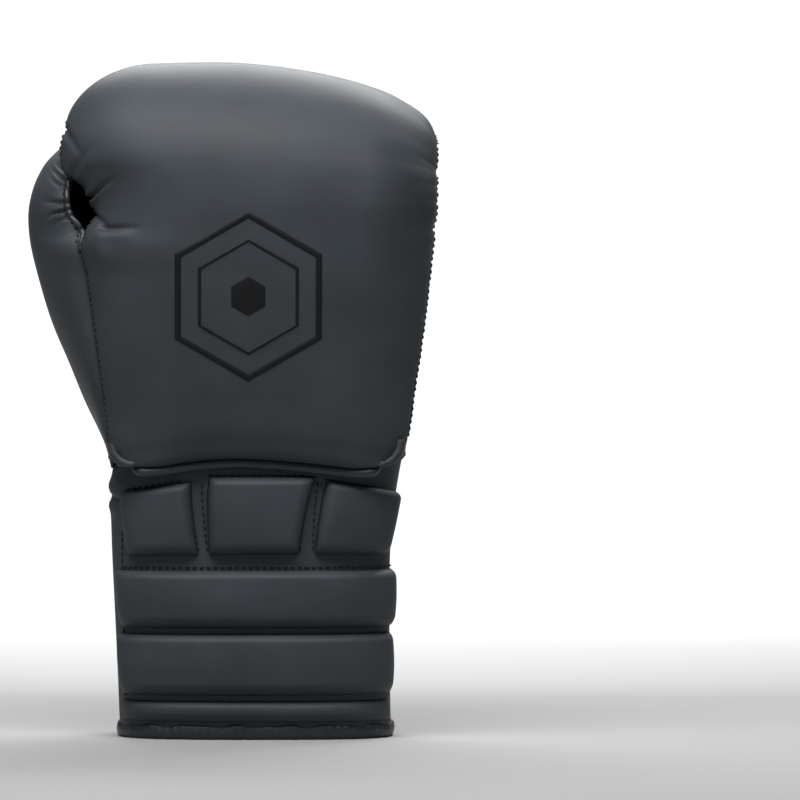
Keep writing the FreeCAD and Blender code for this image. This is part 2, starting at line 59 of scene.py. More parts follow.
# The main padding seen from the little-finger side, from the wrist seam over the knuckles and round
# the finger roll: depth y, height z, left edge, right edge, how far the left and the right edge lie
# under the middle, how far the middle stands out over the sides, and how wide the left and the right
# edge are rounded.
PADDING = np.array([
    [-42, 132, -69, 69, 16, 17, 1, 26, 26],
    [-48, 133.5, -70, 70.5, 15, 17, 2, 30, 30],
    [-52.5, 142, -71.5, 72.5, 11, 16, 4, 36, 36],
    [-57.5, 164, -74, 76.5, 9, 18, 7, 44, 42],
    [-63, 195, -78, 81.5, 10, 22, 10, 47, 42],
    [-67.5, 222, -82, 85.2, 12, 26, 12, 47, 40],
    [-69.4, 239, -84, 86.8, 14, 29, 12, 46, 38],
    [-69.8, 246, -80.2, 87.3, 17, 30, 12, 45, 38],
    [-70.3, 257, -78.8, 88, 20, 30, 12, 44, 36],
    [-69.8, 269, -82, 88, 24, 30, 11, 44, 34],
    [-67.5, 283, -92, 88, 28, 30, 10, 44, 34],
    [-61, 299, -95, 88, 29, 26, 8, 42, 32],
    [-48, 315, -94, 88, 28, 20, 5, 40, 30],
    [-28, 327, -90, 87.5, 25, 16, 3, 36, 28],
    [0, 330.5, -74, 87, 17, 14, 2, 26, 27],
    [28, 328.5, -57, 85, 9, 14, 2, 18, 25],
    [52, 319.5, -54.5, 83, 9, 18, 3, 17, 24],
    [70, 303, -58, 82, 12, 22, 4, 18, 24],
    [80, 283, -59.5, 80, 15, 24, 5, 18, 24],
    [82, 262, -57.5, 78, 17, 24, 5, 20, 24],
    [77, 242, -53, 73, 18, 24, 5, 22, 24],
    [65, 226, -47, 66, 17, 20, 5, 22, 24],
    [49, 217, -41, 60, 13, 15, 4, 20, 22],
    [35, 216, -39, 56, 8, 10, 3, 18, 20],
]) * MM

# The glove's inner body, cuff, palm and sides: height, the left edge at the back and at the palm, the
# right edge, the back's depth, the palm's depth, and how square the section is.
BODY = np.array([
    [0, -66.4, -66.4, 66, -40, 40.5, 2.9],
    [30, -67.6, -67.2, 65.5, -40, 40.5, 2.9],
    [60, -69.3, -68, 65.5, -40, 40, 2.9],
    [100, -71.4, -69.2, 66.5, -40, 40, 2.9],
    [122, -72, -69.5, 69, -40, 39.5, 2.9],
    [140, -71, -67, 72, -41, 39.5, 2.9],
    [165, -73, -62, 77, -42, 41, 3.1],
    [190, -76, -59, 81, -43, 42, 3.3],
    [215, -79, -58, 84.5, -43, 42, 3.6],
    [235, -80, -57, 86, -43, 44, 4],
    [255, -78, -56, 86.5, -42, 49, 4.5],
    [270, -80, -57, 86.5, -41, 50, 4.5],
    [281, -87, -57.5, 86, -40, 49, 4.5],
    [291, -91, -57.5, 84, -38, 46, 4],
    [301, -80, -52, 76, -32, 38, 3],
])
BODY[:, :6] *= MM

# The thumb: height, then x and y of the back seam or rim, of the outermost line, of the palm seam, of
# the hollow of its inner side, and of the line where that side meets the palm.
THUMB = np.array([
    [131, -70, -39, -71, -12, -69, 22, -68.5, 23, -67.6, 25],
    [140, -71, -40, -73.5, -10, -70.5, 27, -69, 28, -66.4, 30],
    [150, -72, -41, -77.5, -8, -74, 31, -70, 29, -63, 35],
    [163, -73.3, -42, -83.5, -5, -79.5, 35, -71, 29, -59, 37],
    [182, -76.5, -43, -91.5, -2, -85, 39, -70, 29, -54.4, 38],
    [200, -79, -43, -99, 1, -86.5, 42, -69, 28, -52, 38.5],
    [216, -81.5, -43, -104.6, 3, -85.5, 45, -67, 28, -51, 38],
    [232, -83.7, -42.5, -109.2, 5, -83, 47, -65, 27, -52, 34],
    [242, -84.5, -42, -111.2, 6, -81.5, 48, -63, 26, -53.5, 31],
    [248, -87.5, -40, -111.9, 7, -80, 48, -62, 26, -54, 30],
    [257, -91, -37, -112.2, 8, -78, 47, -61, 25, -55, 28],
    [266, -91.8, -32, -110.8, 9, -75, 45, -61, 24, -56, 27],
    [275, -89, -26, -107.5, 10, -71.5, 42, -61, 22, -57, 26],
    [284, -83, -20, -101.5, 11, -68.2, 38, -61, 20, -58, 26],
    [291, -77, -11, -93, 13, -66, 33, -61, 21, -59, 25],
    [296.5, -69, 5, -79, 16, -64, 26, -61, 21, -60, 22],
]) * MM

# The height at which the thumb's back seam leaves the padding, and how thick the leather is.
SEAM_TOP = 246 * MM
LEATHER_THICKNESS = 1.6 * MM

# The lacing: half the slit's width by height, its round top, the rows of holes and their distance.
SLIT = np.array([
    [0, 5.6], [30, 5.1], [70, 4.7], [110, 4.5], [150, 4.7], [166, 5.6], [176, 7.6], [184, 9.0],
    [189, 8.8], [193, 7.2], [196, 4.6], [197.6, 0.0],
]) * MM
SLIT_TOP = SLIT[-1, 0]
LACE_ROWS = [168, 146, 115, 91, 66, 40, 14]
LACE_HALF = 15.5
LACE_RADIUS = 3.5 * MM
KNOT_RADIUS = 3.2 * MM
PIPING_HALF = 3.0 * MM

# The pads on the back of the cuff: the corners (x, z) lower left, lower right, upper right and upper
# left, how far the pad swells, and how wide its left and its right edge are rounded.
PADS = {
    "wrist_pad_thumb_side": ([(-61.5, 89), (-27.8, 89.3), (-33.3, 125.3), (-64.5, 120)], 6.6, 9, 6.5),
    "wrist_pad_centre": ([(-22.8, 89.3), (20.6, 89.8), (25, 127.6), (-25.6, 127.6)], 7.0, 6.5, 6.5),
    "wrist_pad_little_side": ([(27.8, 89.8), (62.4, 89.3), (64.9, 119.5), (30.4, 126)], 6.6, 6.5, 12),
    "wrist_roll_upper": ([(-64.2, 54), (64.4, 54.2), (64.8, 82.2), (-65, 82)], 7.0, 14, 20),
    "wrist_roll_middle": ([(-63.4, 21.4), (64, 21.6), (64.4, 51.4), (-64.2, 51.2)], 7.0, 14, 20),
    "wrist_roll_lower": ([(-63, 8.6), (63.8, 8.6), (64, 18.8), (-63.4, 18.8)], 4.0, 14, 20),
}


def interpolate(knots, values, at):
    """Smooth values between knots, column by column."""
    slopes = np.gradient(values, knots, axis=0)
    i = np.clip(np.searchsorted(knots, at, side="right") - 1, 0, len(knots) - 2)
    span = (knots[i + 1] - knots[i])[:, None]
    t = ((at - knots[i])[:, None] / span)
    a, b = values[i], values[i + 1]
    m, n = slopes[i] * span, slopes[i + 1] * span
    rise = 3 * t**2 - 2 * t**3
    return (1 - rise) * a + (t**3 - 2 * t**2 + t) * m + rise * b + (t**3 - t**2) * n


def step(t):
    """A smooth ramp from 0 to 1."""
    t = np.clip(t, 0, 1)
    return t * t * (3 - 2 * t)


def normals_of(grid):
    """Unit normals of a grid of points."""
    along = np.gradient(grid, axis=0)
    across = np.gradient(grid, axis=1)
    normal = np.cross(across, along)
    return normal / np.maximum(np.linalg.norm(normal, axis=2, keepdims=True), 1e-12)


def gathers(distance, pitch, seed):
    """How deep a gathered seam pulls in along its length: 0 between two pinches, 1 at a pinch."""
    wander = 0.28 * pitch * np.sin(distance / (3.1 * pitch) * 2 * math.pi + seed)
    phase = (distance + wander) / pitch + seed
    height = 0.65 + 0.35 * np.sin(2.3 * phase + seed)
    return (1 - np.abs(np.sin(math.pi * phase))) ** 1.7 * height


def lengths(line):
    """Distance along a line of points from its start."""
    steps = np.linalg.norm(np.diff(line, axis=0), axis=1)
    return np.concatenate([[0], np.cumsum(steps)])


def unit(vectors):
    """Vectors brought to length 1."""
    return vectors / np.linalg.norm(vectors, axis=-1, keepdims=True)


def leftward(line):
    """Unit vectors a quarter turn to the left of a flat line."""
    ahead = unit(np.gradient(line, axis=0))
    return np.stack([-ahead[:, 1], ahead[:, 0]], axis=1)


def resampled(line, count):
    """A line of points as evenly spaced ones."""
    run = lengths(line)
    at = np.linspace(0, run[-1], count)
    return np.stack([np.interp(at, run, values) for values in line.T], axis=1)


def bell(distance, width):
    """A smooth hump: 1 at no distance, a third of it at the width."""
    return np.exp(-((distance / width) ** 2))


def circle(count):
    """Points round a circle of radius 1."""
    angles = np.linspace(0, 2 * math.pi, count, endpoint=False)
    return np.stack([np.cos(angles), np.sin(angles)], axis=1)


def mesh_object(name, points, faces):
    """A smooth-shaded object of points and faces."""
    mesh = bpy.data.meshes.new(name)
    mesh.from_pydata([tuple(point) for point in points], [], faces)
    mesh.validate()
    mesh.update()
    made = bpy.data.objects.new(name, mesh)
    bpy.context.collection.objects.link(made)
    for polygon in mesh.polygons:
        polygon.use_smooth = True
    return made


def grid_faces(rows, columns, closed=False, first=0):
    """Quads of a grid of points, whose columns may close round."""
    faces = []
    for row in range(rows - 1):
        for column in range(columns if closed else columns - 1):
            a = first + row * columns + column
            b = first + row * columns + (column + 1) % columns
            faces.append((a, b, b + columns, a + columns))
    return faces


def grid_object(name, grid, closed=False):
    """A sheet through a grid of points."""
    return mesh_object(name, grid.reshape(-1, 3), grid_faces(*grid.shape[:2], closed))


def skin(name, grid, thickness=LEATHER_THICKNESS):
    """A leather or cloth panel: a grid of points given a thickness on its inner side."""
    return solidified(grid_object(name, grid), thickness)


def select_only(pieces):
    """Selects these objects and no other; the first becomes the active one."""
    for other in bpy.context.selected_objects:
        other.select_set(False)
    for piece in pieces:
        piece.select_set(True)
    bpy.context.view_layer.objects.active = pieces[0]


def apply_modifiers(made):
    """Turns an object's modifiers into its mesh."""
    select_only([made])
    for modifier in list(made.modifiers):
        bpy.ops.object.modifier_apply(modifier=modifier.name)
    made.select_set(False)


def join(name, pieces):
    """One mesh of several pieces."""
    select_only(pieces)
    bpy.ops.object.join()
    pieces[0].name = name
    pieces[0].data.name = name
    pieces[0].select_set(False)
    return pieces[0]


def solidified(made, thickness):
    """Gives a sheet a thickness on its inner side."""
    solid = made.modifiers.new("thickness", "SOLIDIFY")
    solid.thickness = thickness
    solid.offset = -1
    apply_modifiers(made)
    return made


def welded(made):
    """Closes the seams between touching edges of a sheet."""
    work = bmesh.new()
    work.from_mesh(made.data)
    bmesh.ops.remove_doubles(work, verts=work.verts, dist=0.02 * MM)
    work.to_mesh(made.data)
    work.free()
    return made


def tube(name, line, outline, closed=False):
    """A tube along a line of points, with an outline (x, y) for the whole line or for each point."""
    count = len(line)
    if closed:
        tangents = np.roll(line, -1, axis=0) - np.roll(line, 1, axis=0)
    else:
        tangents = np.gradient(line, axis=0)
    tangents = unit(tangents)
    side = np.cross(tangents[0], [0.13, 0.97, 0.2])
    sides = []
    for tangent in tangents:
        side = unit(side - tangent * np.dot(side, tangent))
        sides.append(side)
    sides = np.array(sides)
    ups = np.cross(tangents, sides)
    points = line[:, None] + outline[..., :1] * sides[:, None] + outline[..., 1:] * ups[:, None]
    around = points.shape[1]
    faces = grid_faces(count, around, closed=True)
    if closed:
        last = (count - 1) * around
        faces += [(last + i, last + (i + 1) % around, (i + 1) % around, i) for i in range(around)]
    else:
        faces.append(tuple(range(around - 1, -1, -1)))
        faces.append(tuple(range((count - 1) * around, count * around)))
    return mesh_object(name, points.reshape(-1, 3), faces)


# ---- the glove's inner body

def body_section(row, slit, columns):
    """One height of the inner body, from the slit's thumb side round the back to its other side."""
    height, left_back, left_palm, right, back, palm, power = row
    angle = np.linspace(0, 2 * math.pi, 1601)
    out = np.sign(np.sin(angle)) * np.abs(np.sin(angle)) ** (2 / power)
    front = np.sign(np.cos(angle)) * np.abs(np.cos(angle)) ** (2 / power)
    y = np.where(front > 0, palm * front, -back * front)
    left = left_palm + (left_back - left_palm) * (palm - y) / (palm - back)
    x = np.where(out > 0, left * out, -right * out)
    dense = np.stack([x, y], axis=1)
    along = lengths(dense)
    quarter = len(angle) // 8
    start = np.interp(slit, -x[:quarter], along[:quarter])
    stop = np.interp(-slit, -x[-quarter:], along[-quarter:])
    at = np.linspace(start, stop, columns)
    return np.column_stack([np.interp(at, along, x), np.interp(at, along, y), np.full(columns, height)])


def body_grid(columns=241):
    """The inner body as a grid: rows go up, columns go round from one side of the slit to the other."""
    heights = np.concatenate([
        np.linspace(2 * MM, SLIT_TOP - 16 * MM, 100),
        SLIT_TOP - 16 * MM * (1 - np.linspace(0, 1, 24)[1:]) ** 2,
        np.linspace(SLIT_TOP, 301 * MM, 60)[1:],
    ])
    rows = interpolate(BODY[:, 0], BODY, heights)
    rows[:, 0] = heights
    slits = np.interp(heights, SLIT[:, 0], SLIT[:, 1])
    return np.array([body_section(row, slit, columns) for row, slit in zip(rows, slits)])


def wrist_folds(grid):
    """The leather that bunches up at the wrist on the thumb side."""
    push = np.zeros(grid.shape[:2])
    slant = grid[..., 2] - 0.22 * (grid[..., 1] + 12 * MM)
    for height, depth, width in ((123, 1.5, 3.4), (117.5, -1.9, 1.5), (113, 1.2, 2.8)):
        push += depth * MM * bell(slant - height * MM, width * MM)
    side = step((-grid[..., 0] - 60 * MM) / (8 * MM)) * step((6 * MM - grid[..., 1]) / (26 * MM))
    return push * side


BODY_POINTS = body_grid()
BODY_POINTS = BODY_POINTS + normals_of(BODY_POINTS) * wrist_folds(BODY_POINTS)[..., None]
BODY_NORMALS = normals_of(BODY_POINTS)
BODY_HEIGHTS = BODY_POINTS[:, 0, 2]
BODY_ROWS = np.arange(len(BODY_HEIGHTS))


def body_at(heights, columns):
    """Points and normals of the inner body at heights and at fractional columns of its grid."""
    rows = np.interp(heights, BODY_HEIGHTS, BODY_ROWS)
    i = np.clip(rows.astype(int), 0, BODY_POINTS.shape[0] - 2)
    j = np.clip(columns.astype(int), 0, BODY_POINTS.shape[1] - 2)
    u, v = (rows - i)[..., None], (columns - j)[..., None]
    found = []
    for grid in (BODY_POINTS, BODY_NORMALS):
        low = grid[i, j] * (1 - v) + grid[i, j + 1] * v
        high = grid[i + 1, j] * (1 - v) + grid[i + 1, j + 1] * v
        found.append(low * (1 - u) + high * u)
    return found


def column_of(x, height):
    """The fractional column of the inner body's back at a distance from the middle."""
    row = BODY_POINTS[int(np.interp(height, BODY_HEIGHTS, BODY_ROWS))]
    middle = len(row) // 2
    inner = np.where(np.abs(row[:, 1] - row[middle, 1]) < 0.036)[0]
    part = inner[(inner > middle * 0.4) & (inner < middle * 1.6)]
    return np.interp(x, row[part, 0], part)


def facing_line(offset, count=400):
    """The slit's edge from the rim up, over its top and down, moved outward by an offset."""
    t = np.linspace(0, 1, 300)
    z = SLIT_TOP * (1 - (1 - t) ** 2)
    x = np.interp(z, SLIT[:, 0], SLIT[:, 1])
    half = np.stack([-x, z], axis=1)
    line = resampled(np.concatenate([half, half[-2::-1] * [-1, 1]]), count)
    return line + offset * leftward(line)


def palm_depth(x, z):
    """How far the palm's surface lies in front of the middle at a point."""
    row = interpolate(BODY[:, 0], BODY, np.atleast_1d(z))
    half = np.where(x < 0, -row[:, 2], row[:, 3])
    return row[:, 5] * (1 - np.minimum(np.abs(x) / half, 0.98) ** row[:, 6]) ** (1 / row[:, 6])


def on_palm(line, lift):
    """Points (x, z) carried onto the palm's surface and lifted off it."""
    return np.column_stack([line[:, 0], palm_depth(line[:, 0], line[:, 1]) + lift, line[:, 1]])


# ---- the main padding

def padding_grid(rows=460, edge=44, middle=96):
    """The padding's outer surface, from the wrist seam round the knuckles to the end of the finger roll."""
    along = lengths(PADDING[:, :2])
    stations = interpolate(along, PADDING, np.linspace(0, along[-1], rows))
    y, z, left, right, left_drop, right_drop, crown, left_width, right_width = stations.T
    normal = leftward(np.stack([y, z], axis=1))
    upward = np.maximum(normal[:, 1], 0)
    angle = np.linspace(math.pi / 2, 0, edge, endpoint=False)
    share = np.linspace(0, 1, middle)
    near = left[:, None] + left_width[:, None] * (1 - np.sin(angle))
    far = right[:, None] - right_width[:, None] * (1 - np.sin(angle[::-1]))
    between = (left + left_width)[:, None] * (1 - share) + (right - right_width)[:, None] * share
    x = np.concatenate([near, between, far], axis=1)
    drop = np.concatenate([
        left_drop[:, None] * (1 - np.cos(angle)),
        np.zeros((rows, middle)),
        right_drop[:, None] * (1 - np.cos(angle[::-1])),
    ], axis=1)
    half = (right - left)[:, None] / 2
    offset = (x - (right + left)[:, None] / 2) / half
    drop += crown[:, None] * offset**2
    drop += 1.9 * np.maximum(x + 0.02, 0) ** 2 * upward[:, None]
    grid = np.stack([x, y[:, None] - normal[:, :1] * drop, z[:, None] - normal[:, 1:] * drop], axis=2)
    arch = 0.0035 - 0.035 * x - 1.75 * x**2 - 1.1 * np.minimum(x, 0) ** 2
    by_the_wrist = (1 - step((grid[..., 2] - 0.136) / 0.045)) * (grid[..., 1] < -0.02)
    grid[..., 2] += arch * by_the_wrist
    return grid


def valley(grid, start, end, width, depth):
    """How deep a crease between two points (x, z) of the glove's back cuts into a grid."""
    start, end = np.array(start) * MM, np.array(end) * MM
    flat = grid[..., [0, 2]]
    line = end - start
    t = np.clip(((flat - start) @ line) / (line @ line), 0, 1)
    distance = np.linalg.norm(flat - start - t[..., None] * line, axis=2)
    fade = (1 - t) ** 0.7
    return depth * MM * fade * bell(distance, width * MM) * (grid[..., 1] < 0)


def undulation(grid, size, depth, seed):
    """Slow unevenness of a stuffed surface."""
    rough = np.random.default_rng(seed)
    total = np.zeros(grid.shape[:2])
    for _ in range(7):
        direction = rough.normal(size=3)
        direction /= np.linalg.norm(direction) * size * rough.uniform(0.7, 1.6)
        total += np.sin(grid @ direction * 2 * math.pi + rough.uniform(0, 6.28))
    return depth * total / 3


def shaped_padding():
    """The padding with its gathered side seams, its creases by the thumb and a slight unevenness."""
    grid = padding_grid()
    normals = normals_of(grid)
    push = undulation(grid, 60 * MM, 0.45 * MM, 3)
    for column, order, pitch, depth, reach in (
        (0, 1, 9 * MM, 0.7 * MM, 9 * MM),
        (-1, -1, 9.5 * MM, 2.1 * MM, 12 * MM),
    ):
        edge = grid[:, column]
        run = lengths(edge)
        ordered = grid[:, ::order]
        inside = np.concatenate([
            np.zeros((len(grid), 1)),
            np.cumsum(np.linalg.norm(np.diff(ordered, axis=1), axis=2), axis=1),
        ], axis=1)[:, ::order]
        high = 0.25 + 0.75 * step((edge[:, 2] - 0.225) / 0.03)
        pinch = gathers(run, pitch, 1.3 if order == 1 else 0.4) * high
        push -= depth * pinch[:, None] * np.exp(-inside / reach)
        push += 0.5 * depth * high[:, None] * bell(inside - reach, 0.8 * reach)
    for start, end, width, depth in (
        ((-83, 259.5), (-69, 271.5), 1.1, 2.6),
        ((-81, 258), (-71, 268.5), 1.5, -1.6),
        ((-81, 264), (-73, 274), 3.0, -1.3),
        ((-79, 254.5), (-71, 247.5), 1.3, 2.0),
        ((-73.5, 247), (-56, 247), 1.3, 2.2),
        ((-74, 243.5), (-58, 243), 3.0, -1.4),
        ((-80, 246), (-70, 226), 4.5, -1.8),
        ((-93, 296), (-84, 281), 1.6, 1.7),
        ((-88, 276), (-78, 289), 2.0, 1.3),
    ):
        push -= valley(grid, start, end, width, depth)
    return grid + normals * push[..., None]


PADDING_POINTS = shaped_padding()


# ---- the thumb

def thumb_lines(rows=260):
    """The thumb's five long lines: back seam, outermost line, palm seam, hollow and palm line."""
    heights = np.linspace(THUMB[0, 0], THUMB[-1, 0], rows)
    table = interpolate(THUMB[:, 0], THUMB, heights)
    lines = [np.column_stack([table[:, k], table[:, k + 1], heights]) for k in (1, 3, 5, 7, 9)]
    edge = PADDING_POINTS[: PADDING_POINTS.shape[0] // 2, 0]
    edge = edge[: int(np.argmax(edge[:, 2] > SEAM_TOP + 12 * MM))]
    rising = np.maximum.accumulate(edge[:, 2])
    body = np.stack([np.interp(heights, rising, edge[:, k]) for k in (0, 1)], axis=1)
    loose = step((heights - SEAM_TOP + 6 * MM) / (14 * MM))[:, None]
    lines[0][:, :2] = body * (1 - loose) + lines[0][:, :2] * loose
    return lines


def rounded_foot(grid, lift):
    """Raises the lower end of a panel, column by column, within its own surface."""
    heights = grid[:, 0, 2].copy()
    fade = np.clip(1 - (heights - heights[0]) / (60 * MM), 0, 1)
    for column, rise in enumerate(lift):
        raised = heights + rise * fade
        for k in (0, 1):
            grid[:, column, k] = np.interp(raised, heights, grid[:, column, k])
        grid[:, column, 2] = raised


def thumb_panels():
    """Grids of the thumb's outer and inner leather, whose palm seam is gathered in pleats."""
    back, outermost, palm, hollow, foot = thumb_lines()
    turn = np.linspace(0, math.pi / 2, 52)
    to_palm = np.stack([
        palm[:, None, 0] + (outermost - palm)[:, None, 0] * np.sin(turn),
        outermost[:, None, 1] + (palm - outermost)[:, None, 1] * np.cos(turn),
    ], axis=2)
    to_back = np.stack([
        back[:, None, 0] + (outermost - back)[:, None, 0] * np.cos(turn),
        outermost[:, None, 1] + (back - outermost)[:, None, 1] * np.sin(turn),
    ], axis=2)
    flat = np.concatenate([to_palm, to_back[:, 1:]], axis=1)
    height = np.repeat(palm[:, None, 2:], flat.shape[1], axis=1)
    outer = np.concatenate([flat, height], axis=2)
    t = np.linspace(0, 1, 40)[None, :, None]
    on_surface = step((foot[:, 2] - 0.138) / 0.01) * (1 - step((foot[:, 2] - 0.212) / 0.026))
    level = palm_depth(foot[:, 0], foot[:, 2]) - 0.9 * MM
    foot[:, 1] = foot[:, 1] * (1 - on_surface) + level * on_surface
    rest = foot[:, None] * (1 - t) ** 3 + palm[:, None] * t**3
    lead = hollow + np.array([0, -4 * MM, 0])
    edge_lead = palm + np.array([4 * MM, -20 * MM, 0])
    inner = rest + 3 * t * (1 - t) ** 2 * lead[:, None] + 3 * t**2 * (1 - t) * edge_lead[:, None]
    corner = 13 * MM
    rounded_foot(outer, corner * np.clip(np.linspace(-1, 1, outer.shape[1]), 0, 1) ** 2)
    core = (outermost + palm + hollow) / 3
    run = lengths(palm)
    pinch = gathers(run, 9.2 * MM, 0.7) * step((palm[:, 2] - 0.165) / 0.015)
    for grid, at_seam, reach, swell in ((outer, 0, 13 * MM, 1.3 * MM), (inner, -1, 3 * MM, 0)):
        inward = unit(core[:, None] - grid)
        distance = np.linalg.norm(grid - grid[:, at_seam : at_seam + 1 or None], axis=2)
        pull = pinch[:, None] * np.exp(-((distance / reach) ** 1.6))
        puff = bell(distance - 8 * MM, 7 * MM) * step(distance / (5 * MM))
        grid += inward * (2.9 * MM * pull - swell * puff * (1 - pinch[:, None]))[..., None]
    outer += thumb_rim_pleats(outer)
    outer += normals_of(outer) * undulation(outer, 50 * MM, 0.4 * MM, 5)[..., None]
    return outer, inner


def thumb_rim_pleats(outer):
    """Pleats that run from the opening beside the body onto the thumb."""
    rim = outer[:, -1]
    run = lengths(rim)
    free = step((rim[:, 2] - 242 * MM) / (8 * MM)) * (1 - step((rim[:, 2] - 284 * MM) / (8 * MM)))
    distance = np.linalg.norm(outer - rim[:, None], axis=2)
    fan = np.clip((rim[:, 2] - 260 * MM) / (14 * MM), -1, 1) * 0.6
    slanted = run[:, None] - fan[:, None] * distance
    pleat = gathers(slanted, 5.4 * MM, 0.2) * free[:, None]
    depth = 3.6 * MM * pleat * bell(distance - 3.5 * MM, 8 * MM)
    return -normals_of(outer) * depth[..., None]


# ---- stitches, piping and lace

# How far before the glove's middle a ray starts, and how far a row of stitches lies off its surface.
CAST_FROM = 0.2
STITCH_LIFT = 0.1 * MM


def tree_of(*pieces):
    """One search tree of several meshes."""
    points, faces = [], []
    for piece in pieces:
        first = len(points)
        points += [vertex.co.copy() for vertex in piece.data.vertices]
        faces += [[first + index for index in polygon.vertices] for polygon in piece.data.polygons]
    return BVHTree.FromPolygons(points, faces)


def cast(tree, line, toward):
    """Carries points (x, z) onto a surface along Y: toward is +1 from the back, -1 from the palm."""
    found, normals = [], []
    for x, z in line:
        hit, normal, _, _ = tree.ray_cast(Vector((x, -toward * CAST_FROM, z)), Vector((0, toward, 0)))
        if hit is None:
            continue
        if normal.y * toward > 0:
            normal = -normal
        found.append(hit)
        normals.append(normal)
    return np.array(found), np.array(normals)


def nearest(tree, line):
    """Carries points of a line onto the nearest surface, with the outward normals there."""
    found, normals = [], []
    for point in line:
        hit, normal, _, _ = tree.find_nearest(Vector(point))
        found.append(hit)
        normals.append(normal)
    return np.array(found), np.array(normals)


def stitch_row(name, line, normals, pitch=3.4 * MM, length=2.3 * MM, radius=0.5 * MM):
    """A row of thread stitches along a line on a surface, each one sunk at both ends."""
    run = lengths(line)
    centres = np.arange(pitch, run[-1] - pitch / 2, pitch)
    rings = np.array([-1, -0.72, 0, 0.72, 1])
    widths = np.array([0.35, 0.85, 1, 0.85, 0.35])
    angles = np.linspace(0, 2 * math.pi, 6, endpoint=False)
    points, faces = [], []
    for centre in centres:
        at = np.array([centre - 0.3 * MM, centre, centre + 0.3 * MM])
        low, middle, high = (np.array([np.interp(a, run, line[:, k]) for k in range(3)]) for a in at)
        up = np.array([np.interp(centre, run, normals[:, k]) for k in range(3)])
        ahead = high - low
        ahead /= np.linalg.norm(ahead) + 1e-12
        up -= ahead * np.dot(up, ahead)
        up /= np.linalg.norm(up) + 1e-12
        side = np.cross(ahead, up)
        first = len(points)
        for ring, width in zip(rings, widths):
            base = middle + ahead * ring * length / 2 + up * radius * (0.5 - 0.9 * ring**2)
            for angle in angles:
                points.append(base + radius * width * (math.cos(angle) * side + math.sin(angle) * up))
        faces += grid_faces(len(rings), len(angles), closed=True, first=first)
        faces.append(tuple(range(first + 5, first - 1, -1)))
        faces.append(tuple(range(first + 24, first + 30)))
    return mesh_object(name, points, faces)


def smooth_line(points, count):
    """A smooth curve near its control points, as evenly spaced points."""
    curve = bpy.data.curves.new("route", "CURVE")
    curve.dimensions = "3D"
    spline = curve.splines.new("NURBS")
    spline.points.add(len(points) - 1)
    for slot, point in zip(spline.points, points):
        slot.co = (*point, 1)
    spline.order_u = 3
    spline.use_endpoint_u = True
    spline.resolution_u = 12
    holder = bpy.data.objects.new("route", curve)
    bpy.context.collection.objects.link(holder)
    bpy.context.view_layer.update()
    mesh = bpy.data.meshes.new_from_object(holder)
    line = np.array([vertex.co[:] for vertex in mesh.vertices])
    bpy.data.objects.remove(holder)
    bpy.data.curves.remove(curve)
    bpy.data.meshes.remove(mesh)
    return resampled(line, count)


def braid(line, radius, around=48, pitch=8 * MM, plaits=6):
    """Outlines for a tube along a line: a round braid, whose plaits cross in a diamond pattern."""
    angles = np.linspace(0, 2 * math.pi, around, endpoint=False)
    phase = lengths(line)[:, None] / pitch * 2 * math.pi
    turned = plaits * angles[None]
    weave = np.maximum(np.abs(np.cos((turned + phase * 2) / 2)), np.abs(np.cos((turned - phase * 2) / 2)))
    r = radius * (0.72 + 0.30 * weave)
    return np.stack([r * np.cos(angles), r * np.sin(angles)], axis=2)


# ---- materials

def new_material(name):
    """A new material, its nodes, its links and its shader."""
    made = bpy.data.materials.new(name)
    made.use_nodes = True
    tree = made.node_tree
    return made, tree.nodes, tree.links, tree.nodes["Principled BSDF"]


def set_inputs(node, **values):
    """Sets inputs of a node, named with _ for each space."""
    for name, value in values.items():
        node.inputs[name.replace("_", " ")].default_value = value


def connect(links, rows):
    """Links nodes: each row is a node, its output, the next node and its input."""
    for source, output, target, entry in rows:
        links.new(source.outputs[output], target.inputs[entry])


def material(name, base, roughness, grain, grain_depth, mottle=0.12, sheen=0.0, shine=0.3):
    """A leather or thread material: mottled colour, uneven roughness and a fine grain."""
    made, nodes, links, shader = new_material(name)
    where, broad, colours, rough, cells, fine, mixed, bump = (nodes.new("ShaderNode" + kind) for kind in (
        "TexCoord", "TexNoise", "ValToRGB", "MapRange", "TexVoronoi", "TexNoise", "Math", "Bump",
    ))
    set_inputs(broad, Scale=28, Detail=5)
    low, high = colours.color_ramp.elements
    low.position, high.position = 0.32, 0.68
    low.color = (*[c * (1 - mottle) for c in base], 1)
    high.color = (*[c * (1 + mottle) for c in base], 1)
    set_inputs(rough, To_Min=roughness - 0.06, To_Max=roughness + 0.08)
    cells.feature = "SMOOTH_F1"
    set_inputs(cells, Scale=grain, Smoothness=0.6)
    set_inputs(fine, Scale=grain * 0.45, Detail=6)
    mixed.operation = "ADD"
    set_inputs(bump, Strength=grain_depth, Distance=0.4 * MM)
    set_inputs(shader, Specular_IOR_Level=shine, Sheen_Weight=sheen, Sheen_Roughness=0.5)
    connect(links, (
        (where, "Object", broad, "Vector"),
        (broad, "Fac", colours, "Fac"),
        (colours, "Color", shader, "Base Color"),
        (broad, "Fac", rough, "Value"),
        (rough, "Result", shader, "Roughness"),
        (where, "Object", cells, "Vector"),
        (where, "Object", fine, "Vector"),
        (cells, "Distance", mixed, 0),
        (fine, "Fac", mixed, 1),
        (mixed, "Value", bump, "Height"),
        (bump, "Normal", shader, "Normal"),
    ))
    return made


